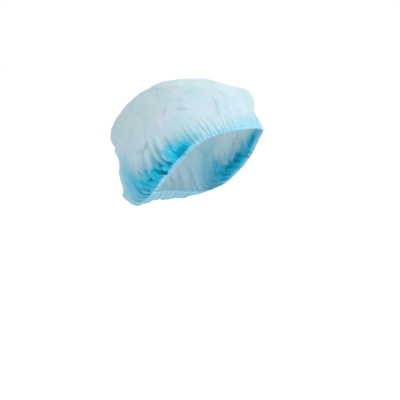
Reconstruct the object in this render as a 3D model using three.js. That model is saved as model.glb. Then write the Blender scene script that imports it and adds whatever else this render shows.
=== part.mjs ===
// A disposable bouffant hair cap in the shape it takes when worn: a thin non-woven bag, a turned-up
// hem drawn into gathers, and the elastic that runs round the face, over the ears and under the nape.
// Millimetres, +Z up, the forehead towards -Y. The origin is the middle of the opening.
import * as THREE from "three";

// Wear: the opening's plane drops from the forehead to the nape.
const WEAR_TILT_DEG = 31;

// Walls and widths, measured along the cloth from the elastic's edge.
const CLOTH_WALL = 1.0;
const HEM_WALL = 1.6;
const ELASTIC_WALL = 1.2;
const ELASTIC_WIDTH = 5;
const HEM_WIDTH = 15;
const SEAM_GAP = 0.6;

// Gathers: each one is a ridge between two valleys, drawn with four columns of points. It rises from
// the edge and dies out up the crown. The spreads are how uneven the gathers are, as shares.
const GATHER_COUNT = 36;
const COLUMNS_PER_GATHER = 4;
const GATHER_HEIGHT = 5.5;
const GATHER_RISE = 15;
const GATHER_REACH = 46;
const WIDTH_SPREAD = 0.3;
const HEIGHT_SPREAD = 0.4;
const REACH_SPREAD = 0.5;

// Rings of points: even ones across the hem, and ones that crowd towards the hem on the crown.
const HEM_ROWS = 3;
const CROWN_ROWS = 14;
const ROW_CROWDING = 1.35;

// Sections of the bag, parallel to the opening. front, back and side are reaches from the middle of
// the opening and height is above its plane. A section dips over the ears and nape by its drops, and
// stands higher ahead of the ears by its temple_rise.
const SECTIONS = [
  { name: "edge", height: 0, front: 103, back: 98, side: 74, ear_drop: 17, temple_rise: 11, nape_drop: 0 },
  { name: "hem", height: 12, front: 106, back: 126, side: 77, ear_drop: 18, temple_rise: 9, nape_drop: 18 },
  { name: "belly", height: 38, front: 106, back: 130, side: 88, ear_drop: 9, temple_rise: 4, nape_drop: 15 },
  { name: "shoulder", height: 66, front: 94, back: 118, side: 89, ear_drop: 2, temple_rise: 0, nape_drop: 0 },
  { name: "upper", height: 107, front: 50, back: 99, side: 68, ear_drop: 0, temple_rise: 0, nape_drop: 0 },
  { name: "top", height: 123, front: 16, back: 74, side: 39, ear_drop: 0, temple_rise: 0, nape_drop: 0 },
];
const POLE = { height: 125, back: 52 };

// A section is fuller than an ellipse at the temples and behind the ears: an exponent under 1.
const FULLNESS = 0.88;

// Main folds and dents. around is the angle from the forehead by way of the right ear, up is the
// share of the way from the edge to the pole, and lift is outwards.
const FOLDS = [
  { name: "left_shoulder_lobe", around_deg: 314, up: 0.24, spread_deg: 24, spread_up: 0.08, lift: 7 },
  { name: "left_temple_dent", around_deg: 322, up: 0.16, spread_deg: 30, spread_up: 0.06, lift: -7 },
  { name: "right_rear_dent", around_deg: 138, up: 0.45, spread_deg: 34, spread_up: 0.11, lift: -5 },
  { name: "right_rear_lobe", around_deg: 126, up: 0.2, spread_deg: 26, spread_up: 0.07, lift: 2 },
  { name: "left_rear_dent", around_deg: 222, up: 0.36, spread_deg: 30, spread_up: 0.09, lift: -4 },
  { name: "top_crease", around_deg: 60, up: 0.72, spread_deg: 40, spread_up: 0.05, lift: -2.5 },
];

const COLUMNS = GATHER_COUNT * COLUMNS_PER_GATHER;
const HEM_START = ELASTIC_WIDTH + SEAM_GAP;
const CROWN_START = HEM_START + HEM_WIDTH + SEAM_GAP;

// A repeatable factor for each gather, from 1 - spread to 1 + spread.
function uneven(index, salt, spread) {
  const wave = Math.sin(index * 12.9898 + salt * 78.233) * 43758.5453;
  return 1 + spread * (2 * (wave - Math.floor(wave)) - 1);
}

// The gathers' start angles, heights and reaches, with uneven widths that fill the round.
function makeGathers() {
  const widths = Array.from({ length: GATHER_COUNT }, (_, i) => uneven(i, 1, WIDTH_SPREAD));
  const round = widths.reduce((sum, width) => sum + width, 0);
  let start = 0;
  return widths.map((width, i) => {
    const gather = {
      start,
      width: (2 * Math.PI * width) / round,
      height: GATHER_HEIGHT * uneven(i, 2, HEIGHT_SPREAD),
      reach: GATHER_REACH * uneven(i, 3, REACH_SPREAD),
    };
    start += gather.width;
    return gather;
  });
}
const gathers = makeGathers();

function columnAngle(column) {
  const gather = gathers[Math.floor(column / COLUMNS_PER_GATHER)];
  return gather.start + (gather.width * (column % COLUMNS_PER_GATHER)) / COLUMNS_PER_GATHER;
}

// The most that sin squared times cos reaches, a little ahead of the ear.
const TEMPLE_PEAK = 2 / (3 * Math.sqrt(3));
const fuller = (value) => Math.sign(value) * Math.abs(value) ** FULLNESS;

// A point of a section's ring, in the frame of the opening's plane.
function ringPoint(section, angle) {
  const ahead = Math.cos(angle);
  const aside = Math.sin(angle);
  const nape = Math.max(0, -ahead);
  const middle = (section.back - section.front) / 2;
  const depth = (section.back + section.front) / 2;
  return new THREE.Vector3(
    -section.side * fuller(aside),
    middle - depth * fuller(ahead),
    section.height -
      section.ear_drop * aside ** 2 +
      (section.temple_rise * aside ** 2 * ahead) / TEMPLE_PEAK -
      section.nape_drop * nape ** 2,
  );
}

// The line on the bag from the elastic's edge to the pole, one for each column.
const meridians = Array.from({ length: COLUMNS }, (_, column) => {
  const points = SECTIONS.map((section) => ringPoint(section, columnAngle(column)));
  points.push(new THREE.Vector3(0, POLE.back, POLE.height));
  const line = new THREE.CatmullRomCurve3(points, false, "centripetal");
  line.arcLengthDivisions = 120;
  return line;
});

// How far the cloth stands out at a distance from the edge, from its gather and the main folds.
function lift(column, along) {
  const gather = gathers[Math.floor(column / COLUMNS_PER_GATHER)];
  const share = (column % COLUMNS_PER_GATHER) / COLUMNS_PER_GATHER;
  const rise = THREE.MathUtils.smoothstep(along, 0, GATHER_RISE);
  const fade = 1 - THREE.MathUtils.smoothstep(along, GATHER_RISE, GATHER_RISE + gather.reach);
  let out = gather.height * rise * fade * (Math.sin(Math.PI * share) - 0.5);
  const up = along / meridians[column].getLength();
  for (const fold of FOLDS) {
    const turn = THREE.MathUtils.euclideanModulo(
      THREE.MathUtils.radToDeg(columnAngle(column)) - fold.around_deg + 180,
      360,
    ) - 180;
    const away = (turn / fold.spread_deg) ** 2 + ((up - fold.up) / fold.spread_up) ** 2;
    out += fold.lift * Math.exp(-away);
  }
  return out;
}

// The outward direction of the smooth bag, taken just short of its ends.
function outward(column, along) {
  const short = 0.5;
  const line = meridians[column];
  const length = line.getLength();
  const at = THREE.MathUtils.clamp(along / length, short / length, 1 - short / length);
  const up = line.getTangentAt(at);
  const ahead = meridians[(column + 1) % COLUMNS].getPointAt(at);
  const behind = meridians[(column + COLUMNS - 1) % COLUMNS].getPointAt(at);
  return ahead.sub(behind).cross(up).normalize().negate();
}

function clothPoint(column, along) {
  const line = meridians[column];
  const point = line.getPointAt(Math.min(1, along / line.getLength()));
  return point.addScaledVector(outward(column, along), lift(column, along));
}

// The outward direction of the cloth itself, gathers and folds included.
function clothNormal(column, along) {
  const step = 1;
  const low = clothPoint(column, Math.max(0, along - step));
  const high = clothPoint(column, along + step);
  const next = clothPoint((column + 1) % COLUMNS, along);
  const last = clothPoint((column + COLUMNS - 1) % COLUMNS, along);
  return high.sub(low).cross(next.sub(last)).normalize();
}

// A closed wall between an outer skin and the same skin moved in by the wall. rows holds, from the
// opening upwards, the distance from the edge in each column, and pole closes the top where there is one.
function wallGeometry(rows, wall, pole) {
  const positions = [];
  const index = [];
  for (const inset of [0, wall]) {
    for (const distanceAt of rows) {
      for (let column = 0; column < COLUMNS; column++) {
        const along = distanceAt(column);
        const point = clothPoint(column, along).addScaledVector(clothNormal(column, along), -inset);
        positions.push(...point);
      }
    }
  }
  const count = rows.length;
  const last = count - 1;
  const at = (layer, row, column) => (layer * count + row) * COLUMNS + (column % COLUMNS);
  const quad = (a, b, c, d) => index.push(a, b, c, a, c, d);
  for (let c = 0; c < COLUMNS; c++) {
    for (let r = 0; r < last; r++) {
      quad(at(0, r, c), at(0, r + 1, c), at(0, r + 1, c + 1), at(0, r, c + 1));
      quad(at(1, r, c), at(1, r, c + 1), at(1, r + 1, c + 1), at(1, r + 1, c));
    }
    quad(at(0, 0, c), at(0, 0, c + 1), at(1, 0, c + 1), at(1, 0, c));
    if (!pole) quad(at(0, last, c), at(1, last, c), at(1, last, c + 1), at(0, last, c + 1));
  }
  if (pole) {
    const tip = positions.length / 3;
    positions.push(...pole, ...pole.clone().setZ(pole.z - wall));
    for (let c = 0; c < COLUMNS; c++) {
      index.push(at(0, last, c), tip, at(0, last, c + 1));
      index.push(at(1, last, c), at(1, last, c + 1), tip + 1);
    }
  }
  const geometry = new THREE.BufferGeometry();
  geometry.setAttribute("position", new THREE.Float32BufferAttribute(positions, 3));
  geometry.setIndex(index);
  geometry.computeVertexNormals();
  return geometry;
}

const evenly = (from, width, steps) =>
  Array.from({ length: steps + 1 }, (_, k) => () => from + (width * k) / steps);

function makeElastic() {
  return wallGeometry(evenly(0, ELASTIC_WIDTH, 1), ELASTIC_WALL, null);
}

function makeHem() {
  return wallGeometry(evenly(HEM_START, HEM_WIDTH, HEM_ROWS), HEM_WALL, null);
}

function makeCrown() {
  const rows = Array.from({ length: CROWN_ROWS }, (_, k) => (column) => {
    const length = meridians[column].getLength();
    return CROWN_START + (length - CROWN_START) * (k / CROWN_ROWS) ** ROW_CROWDING;
  });
  return wallGeometry(rows, CLOTH_WALL, new THREE.Vector3(0, POLE.back, POLE.height));
}

const cap = new THREE.Group();
cap.rotation.x = THREE.MathUtils.degToRad(-WEAR_TILT_DEG);
const pieces = [
  { name: "elastic_edging", geometry: makeElastic(), color: 0xa9d6ea, roughness: 0.75 },
  { name: "gathered_hem", geometry: makeHem(), color: 0x45b6d8, roughness: 0.8 },
  { name: "crown", geometry: makeCrown(), color: 0xbfd9e2, roughness: 0.85 },
];
for (const { name, geometry, color, roughness } of pieces) {
  const mesh = new THREE.Mesh(geometry, new THREE.MeshStandardMaterial({ color, roughness, metalness: 0 }));
  mesh.name = name;
  cap.add(mesh);
}

const part = new THREE.Group();
part.add(cap);
export default part;
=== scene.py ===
import math

import bpy
import numpy as np
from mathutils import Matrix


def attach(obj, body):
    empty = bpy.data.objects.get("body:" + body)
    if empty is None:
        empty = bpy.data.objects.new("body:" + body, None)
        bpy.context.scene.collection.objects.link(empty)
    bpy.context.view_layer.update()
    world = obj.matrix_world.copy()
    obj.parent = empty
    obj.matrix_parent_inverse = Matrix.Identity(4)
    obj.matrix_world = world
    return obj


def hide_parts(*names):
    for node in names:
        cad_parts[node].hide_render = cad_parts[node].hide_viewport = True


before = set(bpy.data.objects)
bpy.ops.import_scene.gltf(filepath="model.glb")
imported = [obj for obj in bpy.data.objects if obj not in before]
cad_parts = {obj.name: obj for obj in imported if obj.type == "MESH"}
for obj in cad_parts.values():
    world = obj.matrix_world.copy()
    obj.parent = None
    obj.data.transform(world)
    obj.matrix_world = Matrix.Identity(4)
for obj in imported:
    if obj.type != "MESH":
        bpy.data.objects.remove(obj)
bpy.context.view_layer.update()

# The cap's bag. It is one disc of spunbond polypropylene, puffed out over the hair and drawn in at
# its edge, so the cloth that is too wide for the opening stands in gathers that run up and die out.
# All three pieces of cloth come from this one disc, so its worn shape is worked out here.
MM = 0.001
WEAR_TILT = math.radians(-31)
CUT_RADIUS = 220 * MM
ELASTIC_WIDTH = 5 * MM
HEM_WIDTH = 15 * MM
SEAM_WIDTH = 0.6 * MM
HEM_START = ELASTIC_WIDTH + SEAM_WIDTH
CROWN_START = HEM_START + HEM_WIDTH

# The cloth is a grid of columns round the cap and rows up it, which crowd towards the edge.
COLUMNS = 960
ELASTIC_ROWS = 5
HEM_ROWS = 10
CROWN_ROWS = 74
POLE_ROW = CROWN_ROWS - 0.6
ROW_CROWDING = 1.35
LINE_STEPS = 14
FULLNESS = 0.88

# Reaches of each section from the middle of the opening, its height above the opening's plane, and
# how far it dips over the ears and nape, all in millimetres.
SECTIONS = np.array(
    [
        # height, front, back, side, ear drop, temple rise, nape drop
        (0, 103, 98, 74, 17, 11, 0),
        (12, 106, 126, 77, 18, 9, 18),
        (38, 106, 130, 88, 9, 4, 15),
        (66, 94, 118, 89, 2, 0, 0),
        (107, 50, 99, 68, 0, 0, 0),
        (123, 16, 74, 39, 0, 0, 0),
    ]
) * MM
POLE = np.array((0, 52, 125)) * MM

# The bag's dents and lobes: the angle from the forehead by way of the right ear, the share of the way
# to the pole, the spread of each, and how far the cloth stands out in millimetres.
FOLDS = (
    (314, 0.24, 24, 0.08, 7),
    (322, 0.16, 30, 0.06, -7),
    (138, 0.45, 34, 0.11, -5),
    (126, 0.20, 26, 0.07, 2),
    (222, 0.36, 30, 0.09, -4),
    (60, 0.72, 40, 0.05, -2.5),
)

around = np.arange(COLUMNS) * (2 * math.pi / COLUMNS)


def section_ring(section):
    height, front, back, side, ear_drop, temple_rise, nape_drop = section
    ahead = np.cos(around)
    aside = np.sin(around)
    temple_peak = 2 / (3 * math.sqrt(3))
    middle = (back - front) / 2
    depth = (back + front) / 2
    x = -side * np.sign(aside) * np.abs(aside) ** FULLNESS
    y = middle - depth * np.sign(ahead) * np.abs(ahead) ** FULLNESS
    z = height - ear_drop * aside**2 + temple_rise * aside**2 * ahead / temple_peak
    z = z - nape_drop * np.maximum(0, -ahead) ** 2
    return np.stack([x, y, z], axis=-1)


def smooth_line(knots, steps):
    """A centripetal Catmull-Rom line through the knots, one for each column."""
    ends = np.concatenate([[2 * knots[0] - knots[1]], knots, [2 * knots[-1] - knots[-2]]])
    points = [knots[:1]]
    share = np.linspace(0, 1, steps + 1)[1:, None, None]
    for a, b, c, d in zip(ends, ends[1:], ends[2:], ends[3:]):
        before, here, after = (
            np.sqrt(np.linalg.norm(q - p, axis=-1, keepdims=True)) + 1e-9
            for p, q in ((a, b), (b, c), (c, d))
        )
        leave = ((b - a) / before - (c - a) / (before + here) + (c - b) / here) * here
        reach = ((c - b) / here - (d - b) / (here + after) + (d - c) / after) * here
        points.append(
            b
            + leave * share
            + (3 * (c - b) - 2 * leave - reach) * share**2
            + (2 * (b - c) + leave + reach) * share**3
        )
    return np.concatenate(points)


def outward(grid):
    """Unit directions out of a grid of rows up the cap and columns round it."""
    up = np.gradient(grid, axis=0)
    on = np.roll(grid, -1, axis=1) - np.roll(grid, 1, axis=1)
    normal = np.cross(up, on)
    return normal / (np.linalg.norm(normal, axis=-1, keepdims=True) + 1e-12)


def smoothstep(value, low, high):
    share = np.clip((value - low) / (high - low), 0, 1)
    return share * share * (3 - 2 * share)


def bag_rows(distance_from_edge):
    """The smooth bag at distances from the edge: a function of the length of each column's line."""
    knots = np.stack([section_ring(s) for s in SECTIONS] + [np.tile(POLE, (COLUMNS, 1))])
    line = smooth_line(knots, LINE_STEPS)
    along = np.concatenate(
        [np.zeros((1, COLUMNS)), np.cumsum(np.linalg.norm(np.diff(line, axis=0), axis=-1), axis=0)]
    )
    length = along[-1]
    wanted = distance_from_edge(length)
    grid = np.empty((len(wanted), COLUMNS, 3))
    for column in range(COLUMNS):
        for axis in range(3):
            grid[:, column, axis] = np.interp(wanted[:, column], along[:, column], line[:, column, axis])
    up = wanted / length
    lift = np.zeros_like(up)
    for turn, height, turn_spread, up_spread, out in FOLDS:
        away = (np.degrees(around) - turn + 180) % 360 - 180
        lift += out * MM * np.exp(-((away / turn_spread) ** 2) - ((up - height) / up_spread) ** 2)
    return grid + outward(grid) * lift[..., None], wanted, up


def cloth_distances(length):
    edge = np.linspace(0, HEM_START, ELASTIC_ROWS + 1)[:-1]
    hem = np.linspace(HEM_START, CROWN_START, HEM_ROWS + 1)[:-1]
    share = (np.arange(CROWN_ROWS) / POLE_ROW)[:, None] ** ROW_CROWDING
    crown = CROWN_START + (length - CROWN_START) * share
    return np.concatenate([edge[:, None] + 0 * length, hem[:, None] + 0 * length, crown])


bag, along, up = bag_rows(cloth_distances)
bag_out = outward(bag)

# The gathers. The elastic draws the cloth up unevenly: a little over the forehead, most round the ears,
# in wide soft folds at the nape. Each row starts with the angle from the forehead.
EDGE_ZONES = np.array(
    [
        # degrees, extra cloth, gather reach mm, fold height mm, colour strength, colour reach mm
        (0, 0.60, 9, 1.1, 0.30, 18),
        (16, 0.60, 9, 1.1, 0.26, 18),
        (30, 0.50, 9, 0.9, 0.14, 19),
        (40, 0.45, 9, 0.9, 0.24, 19),
        (50, 0.35, 10, 0.9, 0.52, 19),
        (60, 0.20, 12, 0.7, 0.86, 23),
        (70, 0.25, 14, 0.9, 1.00, 29),
        (79, 1.50, 20, 5.6, 1.00, 30),
        (98, 1.70, 22, 6.2, 1.00, 38),
        (106, 1.15, 19, 4.0, 0.84, 62),
        (115, 0.85, 17, 2.4, 0.72, 78),
        (125, 0.80, 17, 2.2, 0.44, 70),
        (140, 0.80, 18, 2.6, 0.26, 60),
        (180, 0.85, 20, 3.2, 0.34, 46),
        (235, 0.80, 17, 2.6, 0.26, 60),
        (245, 0.90, 18, 3.2, 0.58, 72),
        (254, 1.10, 20, 4.2, 0.80, 60),
        (262, 1.45, 22, 5.2, 1.00, 36),
        (281, 1.25, 20, 4.8, 1.00, 28),
        (290, 0.30, 15, 1.3, 1.00, 24),
        (300, 0.20, 13, 0.8, 0.95, 21),
        (312, 0.40, 12, 1.2, 0.55, 20),
        (325, 0.55, 10, 1.2, 0.36, 19),
        (360, 0.60, 9, 1.1, 0.30, 18),
    ]
)
degrees = np.degrees(around)
extra_cloth, gather_reach, fold_height, blue_strength, blue_reach = (
    np.interp(degrees, EDGE_ZONES[:, 0], column) for column in EDGE_ZONES[:, 1:].T
)

# Pockets that sink between folds by the ears, the humps beside them, and small tufts and dents.
# Degrees, distance from the edge in millimetres, the spread of each, and how far out in millimetres.
POCKETS = (
    (67, 10, 10, 6.5, -5.6),
    (71, 29, 2.5, 7, -2.6),
    (76, 15, 3, 9, 2.6),
    (86, 18, 4.5, 7, -3.6),
    (95, 20, 4.5, 7, -3.2),
    (103, 31, 5, 7, -2.6),
    (133, 118, 18, 5, -5.0),
    (133, 107, 8, 5, 3.4),
    (137, 56, 15, 5, -3.4),
    (141, 47, 6, 4, 3.6),
    (257, 30, 5, 7, -2.6),
    (266, 19, 5, 7, -3.4),
    (276, 17, 4.5, 7, -3.4),
    (283, 13, 3.5, 9, 2.5),
    (297, 10, 10, 6, -4.0),
    (324, 4, 8, 8, 3.0),
    (332, 61, 6, 7, 2.0),
)
held = bag.copy()
for turn, height, turn_spread, up_spread, out in POCKETS:
    away = ((degrees - turn + 180) % 360 - 180) / turn_spread
    rise = (along - height * MM) / (up_spread * MM)
    held += bag_out * (out * MM * np.exp(-(away**2) - rise**2))[..., None]

WANDER_WAVES = 24
RIPPLE_WAVES = 30


def wander(salt, slowest, fastest, lean=0):
    """A seeded wave round the cap with no even beat, about 1 high, that leans as it goes up the cloth."""
    draw = np.random.default_rng(salt)
    wave = np.zeros_like(along)
    for count in draw.integers(slowest, fastest, WANDER_WAVES):
        wave += np.sin(count * around + draw.uniform(0, 2 * math.pi) + lean * draw.normal() * up)
    return wave / math.sqrt(WANDER_WAVES / 2)


def ripples(points, width, salt):
    """A smooth random field with ripples about this wide, from seeded plane waves."""
    draw = np.random.default_rng(salt)
    way = draw.normal(size=(RIPPLE_WAVES, 3))
    way /= np.linalg.norm(way, axis=1, keepdims=True)
    way *= 2 * math.pi / (width * draw.uniform(0.7, 1.5, (RIPPLE_WAVES, 1)))
    start = draw.uniform(0, 2 * math.pi, RIPPLE_WAVES)
    return np.sin(points @ way.T + start).sum(axis=-1) / math.sqrt(RIPPLE_WAVES / 2)


# Each edge of the grid wants the length that it has in the loose cloth, so the cloth is squeezed and
# buckles. The bag's form holds it back a little, and its stiffness sets how wide the folds come out.
# By the ears it is squeezed both ways and crumples, and over the brow its folds come out finer.
PINNED_ROW = 2
WEB_STIFFNESS = 0.05
crumple = np.clip(extra_cloth - 0.85, 0, 0.5) * 2
crumple = crumple * smoothstep(along, 4 * MM, 10 * MM) * (1 - smoothstep(along, 28 * MM, 54 * MM))
bunching = np.clip(1 + 0.55 * wander(21, 9, 34), 0.15, 2.2)
round_slack = 1.015 + bunching * extra_cloth * np.exp(-along / (gather_reach * MM))
up_slack = 1.01 + 0.40 * crumple
brow = smoothstep(np.cos(around), 0.7, 0.95)
stiffness = WEB_STIFFNESS * np.exp(0.7 * wander(22, 7, 26)) * (1 - 0.6 * crumple) * (1 - 0.6 * brow)

# Small seeded waves that the squeezed cloth then deepens, finer at the edge than on the crown: each
# one's seed, its fewest and most waves round the cap, and its reach from the edge in millimetres.
STARTING_WAVES = (
    (11, 80, 240, 9),
    (12, 50, 165, 18),
    (13, 28, 95, 34),
    (14, 14, 46, 60),
)
STARTING_HEIGHT = 0.35
first_waves = np.zeros_like(along)
for salt, slowest, fastest, reach in STARTING_WAVES:
    first_waves += wander(salt, slowest, fastest, 22) * np.exp(-((along / (reach * MM)) ** 2))
first_waves = first_waves * (1 - 0.85 * crumple)
first_waves += 1.8 * crumple * (1.3 * ripples(bag, 9 * MM, 41) + 0.7 * ripples(bag, 16 * MM, 42))

# The relaxation: its rounds, the pull of the bag's form, of the grid's edges and of its diagonals, and
# the share of the speed that is kept and of the push that is taken up in each round.
BUCKLE_ROUNDS = 300
BAG_PULL = 0.0015
EDGE_PULL = 0.5
DIAGONAL_PULL = 0.12
KEPT_SPEED = 0.86
TAKEN_PUSH = 0.4


def buckle(start, limit):
    """Relaxes the squeezed cloth with the row on the elastic held, and keeps it within limit of the bag."""
    round_rest = np.linalg.norm(np.roll(bag, -1, 1) - bag, axis=-1) * round_slack
    up_rest = np.linalg.norm(bag[1:] - bag[:-1], axis=-1) * up_slack[1:]
    diagonal_rest = np.sqrt(round_rest[1:] ** 2 + up_rest**2)
    bend = stiffness[..., None]
    cloth = start.copy()
    speed = np.zeros_like(cloth)
    for _ in range(BUCKLE_ROUNDS):
        push = -BAG_PULL * (cloth - held)
        step = np.roll(cloth, -1, 1) - cloth
        length = np.linalg.norm(step, axis=-1)
        pull = step * (EDGE_PULL * (1 - round_rest / (length + 1e-9)))[..., None]
        push += pull - np.roll(pull, 1, 1)
        step = cloth[1:] - cloth[:-1]
        length = np.linalg.norm(step, axis=-1)
        pull = step * (EDGE_PULL * (1 - up_rest / (length + 1e-9)))[..., None]
        push[:-1] += pull
        push[1:] -= pull
        for side in (1, -1):
            step = np.roll(cloth[1:], -side, 1) - cloth[:-1]
            length = np.linalg.norm(step, axis=-1)
            pull = step * (DIAGONAL_PULL * (1 - diagonal_rest / (length + 1e-9)))[..., None]
            push[:-1] += pull
            push[1:] -= np.roll(pull, side, 1)
        kink = bend * (np.roll(cloth, 1, 1) + np.roll(cloth, -1, 1) - 2 * cloth)
        push += 2 * kink - np.roll(kink, 1, 1) - np.roll(kink, -1, 1)
        push[1:-1] += bend[1:-1] * (cloth[2:] + cloth[:-2] - 2 * cloth[1:-1])
        speed = KEPT_SPEED * speed + TAKEN_PUSH * push
        speed[PINNED_ROW] = 0
        cloth += speed
        away = cloth - held
        far = np.linalg.norm(away, axis=-1, keepdims=True)
        cloth = held + away * np.minimum(1, limit[..., None] / (far + 1e-9))
    return cloth

# How far the cloth may stand off the bag: under a millimetre on the elastic, up to the fold height above
# it, and hardly at all past the gathers' reach.
rising = smoothstep(along, 2 * MM, 14 * MM)
fading = (1 - smoothstep(along, 0.8 * gather_reach * MM, 3.6 * gather_reach * MM)) ** 1.5
gather_limit = (0.15 + 0.65 * (1 - rising) + fold_height * rising * fading) * MM
first = held + bag_out * (first_waves * STARTING_HEIGHT * gather_limit)[..., None]
cloth = buckle(first, gather_limit)


def eased(grid, share):
    """The grid with each point moved a share of the way to the middle of its neighbours."""
    middle = (np.roll(grid, 1, 1) + np.roll(grid, -1, 1)) / 2
    middle[1:-1] = (middle[1:-1] + (grid[2:] + grid[:-2]) / 2) / 2
    return grid + share * (middle - grid)


# The web is too springy to keep a kink sharper than a millimetre or two, so the sharpest ease out most.
# turned is how far the cloth turns from a point to the next one, from 0 for flat to 2 for folded over.
EVEN_ROUNDS = 2
EVEN_SHARE = 0.4
KINK_ROUNDS = 48
KINK_SHARE = 0.6
for _ in range(EVEN_ROUNDS):
    cloth = eased(cloth, EVEN_SHARE)
for _ in range(KINK_ROUNDS):
    facing = outward(cloth)
    turned = 1 - np.einsum("rci,rci->rc", facing, np.roll(facing, 1, 1))
    turned[1:] = np.maximum(turned[1:], 1 - np.einsum("rci,rci->rc", facing[1:], facing[:-1]))
    turned = np.maximum(turned, np.roll(turned, -1, 1))
    turned[:-1] = np.maximum(turned[:-1], turned[1:])
    cloth = eased(cloth, KINK_SHARE * smoothstep(turned, 0.15, 0.5)[..., None])

# Creases of the bag itself, from lying folded flat in its packet. Each runs from one place to another,
# both in degrees and millimetres from the edge, and steps the cloth by a height in millimetres.
CREASES = (
    (81, 54, 91, 47, 2.2),
    (86, 50, 92, 58, 1.5),
    (17, 56, 24, 20, 2.0),
    (11, 44, 14, 24, 1.5),
    (51, 57, 42, 46, 1.9),
    (62, 60, 55, 66, 1.5),
    (30, 92, 46, 108, 1.0),
    (100, 78, 112, 66, 1.2),
    (150, 96, 163, 78, 1.4),
    (172, 70, 183, 92, 1.6),
    (207, 72, 216, 46, 1.7),
    (214, 58, 205, 44, 1.3),
    (228, 88, 243, 102, 1.5),
    (258, 78, 246, 64, 1.4),
    (281, 55, 270, 46, 1.8),
    (275, 50, 270, 60, 1.3),
    (299, 60, 309, 70, 1.5),
    (316, 84, 334, 106, 1.3),
)
MM_PER_DEGREE = 1.75
STRAY_CREASES = 46
DARKEST_STEP = 2.2
draw = np.random.default_rng(61)
strays = []
for _ in range(STRAY_CREASES):
    turn = draw.uniform(0, 360)
    height = draw.uniform(30, 135)
    way = draw.uniform(0, math.pi)
    reach = draw.uniform(14, 46)
    next_turn = turn + reach * math.cos(way) / MM_PER_DEGREE
    next_height = height + reach * math.sin(way)
    strays.append((turn, height, next_turn, next_height, draw.uniform(-1.0, 1.0)))
crease_width = 2.4 + 2.6 * smoothstep(along, 50 * MM, 120 * MM)
creased = np.zeros_like(along)
painted_crease_shade = np.zeros_like(along)
for turn, height, next_turn, next_height, step in CREASES + tuple(strays):
    run = np.array(((next_turn - turn) * MM_PER_DEGREE, next_height - height))
    reach = np.linalg.norm(run)
    run = run / reach
    aside = ((degrees[None, :] - turn + 180) % 360 - 180) * MM_PER_DEGREE
    rise = along / MM - height
    on = aside * run[0] + rise * run[1]
    off = (rise * run[0] - aside * run[1]) / crease_width
    ends = smoothstep(on, -0.1 * reach, 0.3 * reach) * (1 - smoothstep(on, 0.7 * reach, 1.1 * reach))
    creased += step * MM * ends * off * np.exp(-(off**2))
    # Along each crease the cloth is also drawn darker, a painted shade that is darkest for the highest
    # steps.
    painted_crease_shade = np.maximum(painted_crease_shade, (step / DARKEST_STEP) ** 2 * ends * np.exp(-3 * off**2))

# Soft folds that run on up from the gathers, puffs where the bag stands loose at the back, and the
# small sharp-edged crinkles of a thin welded web. All but the finest are higher at the back.
MEAN_RIDGE = 0.6
behind = smoothstep(-np.cos(around), -0.5, 0.9)
fold_rise = (0.5 + 2.0 * behind) * MM
fold_reach = (70 + 40 * behind) * MM
puff_rise = (0.8 + 0.8 * behind) * MM
crinkle_rise = (0.45 + 0.75 * behind) * MM
fine_crinkle_rise = 0.2 * MM
soft_folds = fold_rise * (np.abs(wander(51, 9, 26, 9)) - MEAN_RIDGE)
soft_folds = soft_folds * np.exp(-((along / fold_reach) ** 2))
puffs = puff_rise * ripples(bag, 58 * MM, 3)
crinkles = crinkle_rise * (MEAN_RIDGE - np.abs(ripples(bag, 34 * MM, 4)))
crinkles += fine_crinkle_rise * (MEAN_RIDGE - np.abs(ripples(bag, 17 * MM, 6)))
loose = smoothstep(along, 15 * MM, 50 * MM)
cloth = cloth + bag_out * (creased + (soft_folds + puffs + crinkles) * loose)[..., None]
cloth = bag + (cloth - bag) * (1 - smoothstep(up, 0.86, 0.98))[..., None]


def wear(points):
    """Tilts points from the frame of the opening to the frame of the part."""
    x, y, z = np.moveaxis(points, -1, 0)
    down = math.sin(WEAR_TILT)
    level = math.cos(WEAR_TILT)
    return np.stack([x, y * level - z * down, y * down + z * level], axis=-1)


# What the material needs to know of each point: how far the cloth is drawn up there, how deep the point
# lies between folds, whether a crease runs through it, and where it was on the cut disc. The shares were
# matched to the photograph.
depth = np.einsum("rci,rci->rc", cloth - bag, bag_out)
streaks = (0.6 + 0.03 * blue_reach) * MM * (wander(31, 40, 130, 30) + ripples(bag, 12 * MM, 33))
drawn_up = 1 - smoothstep(along + streaks, 0.45 * blue_reach * MM, 1.5 * blue_reach * MM)
haze = 1 - smoothstep(along, 0, 2.6 * blue_reach * MM)
# Ridges of the folds are drawn paler: a painted highlight where light catches their tops.
painted_ridge_highlight = smoothstep(depth, 0.5 * MM, 4.0 * MM)
# The valleys between folds and the far sunk pockets are drawn deeper and darker: partly the several layers
# of cloth there, partly painted shade in the hollows.
valley = smoothstep(-depth, -1.5 * MM, 3.0 * MM)
sunk_far = smoothstep(-depth, 0, 6.5 * MM)
# gathered is the drawn-up cloth's blue share, lowered on the ridges by that painted highlight.
gathered = blue_strength * (0.8 * drawn_up + 0.2 * haze) * (1 - 0.32 * painted_ridge_highlight)
layered_and_shaded = 0.26 + 0.4 * valley + 0.3 * sunk_far * (1 - 0.4 * crumple)
deep = smoothstep(gathered, 0.5, 1.0) * layered_and_shaded + 0.2 * gathered * valley
cloth_facts = {
    "gathered": gathered,
    "deep": np.clip(deep, 0, 1),
    "crease": np.clip(painted_crease_shade, 0, 1),
    "cut_x": CUT_RADIUS * (1 - up) * np.cos(around),
    "cut_y": CUT_RADIUS * (1 - up) * np.sin(around),
}

# A wall's inner side is moved in square to a smoother cloth, so that it doesn't cross itself in a tight
# fold. Every other column is enough above the gathers' reach.
WALL_ROUNDS = 6
WALL_SHARE = 0.5
FINE_REACH = 48 * MM
cloth_out = outward(cloth)
smoother_cloth = cloth
for _ in range(WALL_ROUNDS):
    smoother_cloth = eased(smoother_cloth, WALL_SHARE)
wall_way = outward(smoother_cloth)


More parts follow.
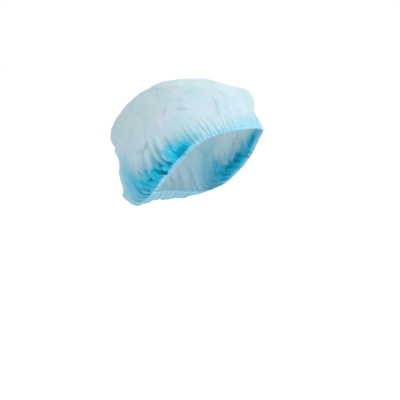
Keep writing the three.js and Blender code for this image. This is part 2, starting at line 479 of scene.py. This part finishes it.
def cloth_piece(name, rows, wall, tip=None):
    """A closed thin wall from rows of the cloth, with its top closed to the tip where there is one."""
    rows = np.arange(len(cloth))[rows]
    steps = [1 if along[row].mean() < FINE_REACH else 2 for row in rows]
    starts = np.cumsum([0] + [COLUMNS // step for step in steps])

    def picked(field):
        return np.concatenate([field[row, ::step] for row, step in zip(rows, steps)])

    skin = picked(cloth)
    out = picked(cloth_out)
    through = picked(wall_way)
    facts = {fact: picked(values) for fact, values in cloth_facts.items()}
    faces = []
    for k in range(len(rows) - 1):
        count = COLUMNS // steps[k + 1]
        here = np.arange(count)
        on = (here + 1) % count
        skip = steps[k + 1] // steps[k]
        corners = [starts[k] + here * skip, starts[k + 1] + here, starts[k + 1] + on, starts[k] + on * skip]
        if skip == 2:
            corners.append(starts[k] + here * skip + 1)
        faces += np.stack(corners, axis=-1).tolist()
    top = starts[-2] + np.arange(count)
    if tip is not None:
        faces += np.stack([top, np.full(count, starts[-1]), np.roll(top, -1)], axis=-1).tolist()
        skin = np.concatenate([skin, [tip]])
        out = np.concatenate([out, [out[top].mean(axis=0)]])
        through = np.concatenate([through, [through[top].mean(axis=0)]])
        facts = {fact: np.append(values, values[top].mean()) for fact, values in facts.items()}
    inside = len(skin)
    faces += [[inside + corner for corner in reversed(face)] for face in faces]
    rims = [np.arange(COLUMNS // steps[0])]
    if tip is None:
        rims.append(top[::-1])
    points = wear(np.concatenate([skin, skin - through * wall]))
    rim_ways = []
    for rim in rims:
        on = np.roll(rim, -1)
        faces += np.stack([rim, on, on + inside, rim + inside], axis=-1).tolist()
        way = np.cross(points[on] - points[rim], points[rim + inside] - points[rim])
        rim_ways.append(way / np.linalg.norm(way, axis=-1, keepdims=True))
    rim_ways = np.repeat(np.concatenate(rim_ways), 4, axis=0)
    mesh = bpy.data.meshes.new(name)
    mesh.from_pydata(points.tolist(), [], faces)
    mesh.polygons.foreach_set("use_smooth", np.ones(len(faces), dtype=bool))
    for fact, values in facts.items():
        both = np.tile(values, 2).astype(np.float32)
        mesh.attributes.new(fact, "FLOAT", "POINT").data.foreach_set("value", both)
    corners = np.empty(len(mesh.loops), dtype=np.int32)
    mesh.loops.foreach_get("vertex_index", corners)
    ways = wear(np.concatenate([out, -out]))[corners]
    ways[-len(rim_ways) :] = rim_ways
    mesh.normals_split_custom_set(ways.tolist())
    piece = bpy.data.objects.new(name, mesh)
    bpy.context.scene.collection.objects.link(piece)
    return piece


# The crown. It is the single layer of the bag, above the folded hem, and closes at the pole.
# The real web is about a tenth of a millimetre thick.
CROWN_WALL = 0.2 * MM
crown_rows = slice(ELASTIC_ROWS + HEM_ROWS, None)
crown = cloth_piece("bouffant_crown", crown_rows, CROWN_WALL, cloth[-1].mean(axis=0))


def linear(sheet_hex):
    """An sRGB hex colour as linear red, green, blue and alpha."""
    shares = [int(sheet_hex[i : i + 2], 16) / 255 for i in (1, 3, 5)]
    return [s / 12.92 if s <= 0.04045 else ((s + 0.055) / 1.055) ** 2.4 for s in shares] + [1]


def add(tree, kind, links=None, **settings):
    """Adds a node, sets its settings, and links or sets its inputs."""
    node = tree.nodes.new(kind)
    for setting, value in settings.items():
        setattr(node, setting, value)
    for socket, value in (links or {}).items():
        if isinstance(value, bpy.types.NodeSocket):
            tree.links.new(value, node.inputs[socket])
        else:
            node.inputs[socket].default_value = value
    return node


# Spunbond polypropylene: endless fibres laid in a random web and welded at a grid of hot points.
# One layer is a pale, half see-through blue, and where folds lay several over each other it goes deep cyan.
# The deep and deepest blues in the hollows are partly painted shade, the paler ridges are a painted
# highlight, and the lines along the creases are painted shade.
# The welds are drawn about twice as far apart as real ones, so that they show.
BOND_PITCH = 2.4 * MM
CLOUD_SIZE = 9 * MM
PATCH_SIZE = 46 * MM
COOL_PATCH = "#eef7f7"
WARM_PATCH = "#fdf9fa"
# CREASE_SHADE is the grey-blue of the painted shade along the creases.
CREASE_SHADE = "#a4bcc6"


def spunbond(name, pale, drawn, tight, deep, deepest, glow):
    """A spunbond cloth in five blues, the two deepest partly painted shade in the folds. glow is the share
    of light that comes through where it is flat.
    """
    material = bpy.data.materials.new(name)
    material.use_nodes = True
    tree = material.node_tree
    tree.nodes.clear()
    gathered, sunk, crease, cut_x, cut_y = (
        add(tree, "ShaderNodeAttribute", attribute_name=fact).outputs["Fac"]
        for fact in ("gathered", "deep", "crease", "cut_x", "cut_y")
    )
    cut = add(tree, "ShaderNodeCombineXYZ", {"X": cut_x, "Y": cut_y}).outputs[0]
    cloud = add(
        tree,
        "ShaderNodeTexNoise",
        {"Vector": cut, "Scale": 1 / CLOUD_SIZE, "Detail": 4.0, "Roughness": 0.62},
    ).outputs["Fac"]
    ramp = add(tree, "ShaderNodeValToRGB", {"Fac": gathered})
    ramp.color_ramp.elements[0].color = linear(pale)
    ramp.color_ramp.elements[1].color = linear(tight)
    ramp.color_ramp.elements.new(0.5).color = linear(drawn)
    layer = ramp.outputs["Color"]
    # The deep and deepest blues stand partly for the layers of cloth in the folds and partly for painted
    # shade in their hollows.
    deep_and_shade_ramp = add(tree, "ShaderNodeValToRGB", {"Fac": sunk})
    deep_and_shade_ramp.color_ramp.elements[0].position = 0.7
    deep_and_shade_ramp.color_ramp.elements[0].color = linear(deep)
    deep_and_shade_ramp.color_ramp.elements[1].color = linear(deepest)
    doubled = add(
        tree,
        "ShaderNodeMath",
        {0: sunk, 1: 1.25},
        operation="MULTIPLY",
        use_clamp=True,
    ).outputs[0]
    folded_and_shaded = add(
        tree,
        "ShaderNodeMix",
        {"Factor": doubled, "A": layer, "B": deep_and_shade_ramp.outputs["Color"]},
        data_type="RGBA",
    ).outputs["Result"]
    patches = add(
        tree,
        "ShaderNodeTexNoise",
        {"Vector": cut, "Scale": 1 / PATCH_SIZE, "Detail": 2.0, "Roughness": 0.5},
    ).outputs["Fac"]
    tint = add(tree, "ShaderNodeValToRGB", {"Fac": patches})
    tint.color_ramp.elements[0].position = 0.36
    tint.color_ramp.elements[0].color = linear(COOL_PATCH)
    tint.color_ramp.elements[1].position = 0.64
    tint.color_ramp.elements[1].color = linear(WARM_PATCH)
    tinted = add(
        tree,
        "ShaderNodeMix",
        {"Factor": 1.0, "A": folded_and_shaded, "B": tint.outputs["Color"]},
        data_type="RGBA",
        blend_type="MULTIPLY",
    ).outputs["Result"]
    patchy = add(
        tree,
        "ShaderNodeMapRange",
        {"Value": cloud, "From Min": 0.3, "From Max": 0.7, "To Min": 0.96, "To Max": 1.03},
    ).outputs["Result"]
    even = add(
        tree,
        "ShaderNodeMix",
        {"Factor": 1.0, "A": tinted, "B": patchy},
        data_type="RGBA",
        blend_type="MULTIPLY",
    ).outputs["Result"]
    # Painted shade: the cloth is darkened towards CREASE_SHADE along each crease.
    painted_crease_share = add(tree, "ShaderNodeMath", {0: crease, 1: 0.5}, operation="MULTIPLY").outputs[0]
    colour = add(
        tree,
        "ShaderNodeMix",
        {"Factor": painted_crease_share, "A": even, "B": linear(CREASE_SHADE)},
        data_type="RGBA",
        blend_type="MULTIPLY",
    ).outputs["Result"]
    bond_waves = []
    for cut_axis in (cut_x, cut_y):
        beat = add(
            tree,
            "ShaderNodeMath",
            {0: cut_axis, 1: 2 * math.pi / BOND_PITCH},
            operation="MULTIPLY",
        ).outputs[0]
        bond_waves.append(add(tree, "ShaderNodeMath", {0: beat}, operation="SINE").outputs[0])
    bonds = add(
        tree,
        "ShaderNodeMath",
        {0: bond_waves[0], 1: bond_waves[1]},
        operation="MULTIPLY",
    ).outputs[0]
    relief = add(tree, "ShaderNodeMath", {0: bonds, 1: 0.25, 2: cloud}, operation="MULTIPLY_ADD").outputs[0]
    dimples = add(
        tree,
        "ShaderNodeBump",
        {"Height": relief, "Strength": 0.25, "Distance": 0.6 * MM},
    ).outputs[0]
    face = add(
        tree,
        "ShaderNodeBsdfPrincipled",
        {
            "Base Color": colour,
            "Roughness": 0.62,
            "IOR": 1.49,
            "Specular IOR Level": 0.1,
            "Sheen Weight": 0.02,
            "Normal": dimples,
        },
    ).outputs[0]
    lit_through = add(tree, "ShaderNodeBsdfTranslucent", {"Color": colour, "Normal": dimples}).outputs[0]
    glow_left = add(
        tree,
        "ShaderNodeMath",
        {0: sunk, 1: -0.7 * glow, 2: glow},
        operation="MULTIPLY_ADD",
    ).outputs[0]
    both = add(tree, "ShaderNodeMixShader", {0: glow_left, 1: face, 2: lit_through}).outputs[0]
    add(tree, "ShaderNodeOutputMaterial", {"Surface": both})
    return material


# From a single layer, by way of drawn and tightly drawn cloth, to deep and deepest folds, whose blues are
# partly layered cloth and partly painted shade.
CLOTH_COLOURS = ("#dae7eb", "#a2d8e5", "#44c5e0", "#00c2e0", "#0099b8")
CROWN_GLOW = 0.5
crown.data.materials.append(spunbond("spunbond_single", *CLOTH_COLOURS, CROWN_GLOW))
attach(crown, "root")
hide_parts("crown")

# The hem. The disc's edge is folded back over the elastic and welded to itself, so it is two layers,
# deeper blue than the bag and less see-through, and it stands in the tightest gathers.
HEM_WALL = 0.3 * MM
HEM_GLOW = 0.45
hem_rows = slice(ELASTIC_ROWS, ELASTIC_ROWS + HEM_ROWS + 1)
hem = cloth_piece("gathered_hem_fold", hem_rows, HEM_WALL)
hem.data.materials.append(spunbond("spunbond_doubled", *CLOTH_COLOURS, HEM_GLOW))
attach(hem, "root")
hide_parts("gathered_hem")

# The elastic. A narrow braided rubber-cored tape in the fold, which crimps the cloth over it into a
# fine even pucker along the very edge. Its white shows through the cloth, so the edge is a pale line.
ELASTIC_WALL = 0.4 * MM
ELASTIC_GLOW = 0.3
# Its last two blues, for the folds, are partly layered cloth and partly painted shade.
ELASTIC_COLOURS = ("#9cd2e2", "#a8d8e8", "#bcdff2", "#84c8e8", "#6cb8dc")
elastic = cloth_piece("elastic_edge_band", slice(0, ELASTIC_ROWS + 1), ELASTIC_WALL)
elastic.data.materials.append(spunbond("spunbond_over_elastic", *ELASTIC_COLOURS, ELASTIC_GLOW))
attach(elastic, "root")
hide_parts("elastic_edging")

# The studio. A white sweep of matt paper well below the cap, a large soft light from the right of the
# view, a weaker one from behind, and white surroundings that fill the shadows.
FLOOR_HEIGHT = -360 * MM
FLOOR_REACH = 40
floor_mesh = bpy.data.meshes.new("paper_floor")
floor_mesh.from_pydata(
    [(x * FLOOR_REACH, y * FLOOR_REACH, FLOOR_HEIGHT) for x, y in ((-1, -1), (1, -1), (1, 1), (-1, 1))],
    [],
    [(0, 1, 2, 3)],
)
floor = bpy.data.objects.new("paper_floor", floor_mesh)
bpy.context.scene.collection.objects.link(floor)
paper = bpy.data.materials.new("matt_white_paper")
paper.use_nodes = True
paper.node_tree.nodes["Principled BSDF"].inputs["Base Color"].default_value = linear("#fdfdfd")
paper.node_tree.nodes["Principled BSDF"].inputs["Roughness"].default_value = 0.9
floor.data.materials.append(paper)

world = bpy.data.worlds.new("white_studio")
bpy.context.scene.world = world
world.use_nodes = True
world.node_tree.nodes["Background"].inputs["Color"].default_value = (1, 1, 1, 1)
world.node_tree.nodes["Background"].inputs["Strength"].default_value = 1.04


def soft_light(name, place, size, power):
    """A square light aimed at the cap, with its size in metres and its power in watts."""
    lamp = bpy.data.lights.new(name, "AREA")
    lamp.size = size
    lamp.energy = power
    light = bpy.data.objects.new(name, lamp)
    light.location = place
    light.rotation_euler = (-light.location).to_track_quat("-Z", "Y").to_euler()
    bpy.context.scene.collection.objects.link(light)


soft_light("key_softbox", (0.0, -1.6, 0.9), 0.9, 19)
soft_light("rear_softbox", (1.2, 1.0, 0.9), 0.8, 10)

# The camera, at the photograph's angle. Its image is 400 by 400 pixels.
IMAGE_SIZE = 400
FOCAL_PIXELS = 786
SENSOR = 36
CAMERA_TURN = math.radians(-45)
CAMERA_DIP = math.radians(10)
CAMERA_AWAY = 1.1
ORIGIN_ROW = 163
lens = bpy.data.cameras.new("photo_camera")
lens.sensor_width = SENSOR
lens.lens = SENSOR * FOCAL_PIXELS / IMAGE_SIZE
lens.clip_end = 100
camera = bpy.data.objects.new("photo_camera", lens)
bpy.context.scene.collection.objects.link(camera)
bpy.context.scene.camera = camera
camera.rotation_euler = (math.pi / 2 - CAMERA_DIP, 0, CAMERA_TURN)
camera_axes = camera.rotation_euler.to_matrix()
below_centre = (IMAGE_SIZE / 2 - ORIGIN_ROW) / FOCAL_PIXELS * CAMERA_AWAY
camera.location = -(camera_axes.col[1] * below_centre) + camera_axes.col[2] * CAMERA_AWAY
bpy.context.scene.view_settings.view_transform = "Standard"
